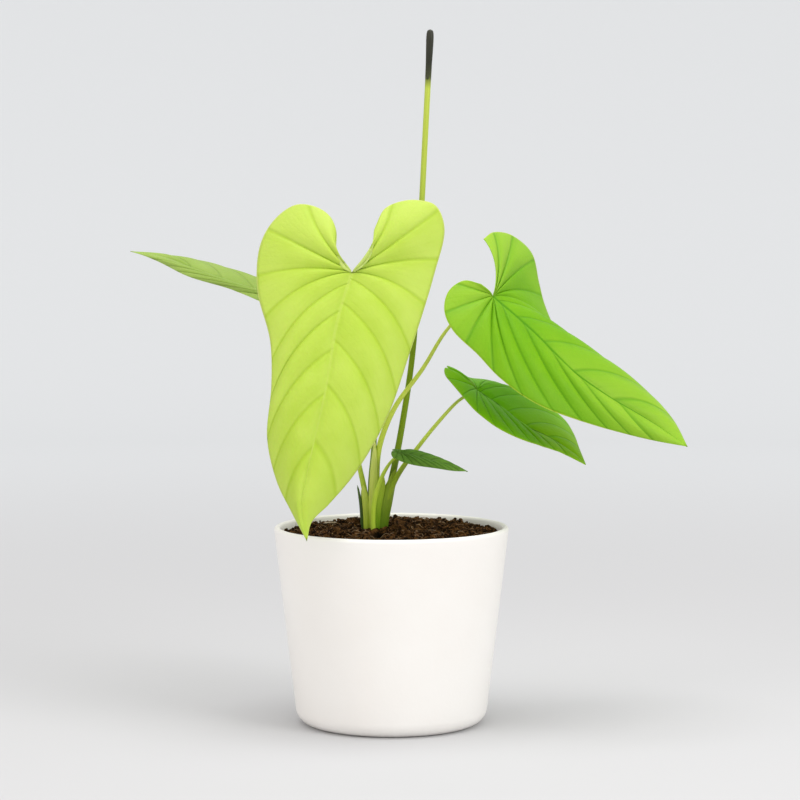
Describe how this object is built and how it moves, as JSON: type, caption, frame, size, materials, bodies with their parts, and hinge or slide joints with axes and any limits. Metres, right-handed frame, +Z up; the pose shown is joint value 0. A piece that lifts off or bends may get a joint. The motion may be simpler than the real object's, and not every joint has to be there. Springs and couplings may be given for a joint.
{
  "type": "potted heart-leaf aroid plant",
  "caption": "Young aroid with heart-shaped drooping leaves, slim leaf stalks and an upright closed flower bud, growing in a plain white tapered pot",
  "frame": {"origin": "centre of the pot's flat underside, on the surface the pot stands on", "axes": "+Z up, -Y towards the side that the largest leaf faces, +X to the right of a viewer who stands on that side"},
  "size_m": [0.3862, 0.2145, 0.4694],
  "materials": {
    "pot": "satin matt glaze, warm white",
    "soil": "loose dark brown peat mix, matt",
    "crown": "fibrous brown green, matt",
    "root": "fleshy pale tan, matt",
    "front_blade": "satin lime yellow green leaf",
    "left_blade": "satin pale grey green leaf",
    "right_blades": "satin bright mid green leaf",
    "small_blade": "satin dark green leaf",
    "leaf_stalk": "satin yellow green",
    "flower_stalk": "satin olive green",
    "flower_bud": "near black green, satin",
    "scale_leaf": "dark green, papery"
  },
  "bodies": {
    "root": {"pot": "pot", "soil": "soil", "crown": "crown", "root_1": "root", "root_2": "root", "root_3": "root", "root_4": "root", "root_5": "root", "root_6": "root", "front_leaf_blade": "front_blade", "left_leaf_blade": "left_blade", "upper_right_leaf_blade": "right_blades", "lower_right_leaf_blade": "right_blades", "small_leaf_blade": "small_blade", "front_leaf_stalk": "leaf_stalk", "left_leaf_stalk": "leaf_stalk", "upper_right_leaf_stalk": "leaf_stalk", "lower_right_leaf_stalk": "leaf_stalk", "small_leaf_stalk": "leaf_stalk", "flower_stalk": "flower_stalk", "flower_bud": "flower_bud", "left_scale_leaf": "scale_leaf", "rear_scale_leaf": "scale_leaf"}
  },
  "joints": []
}
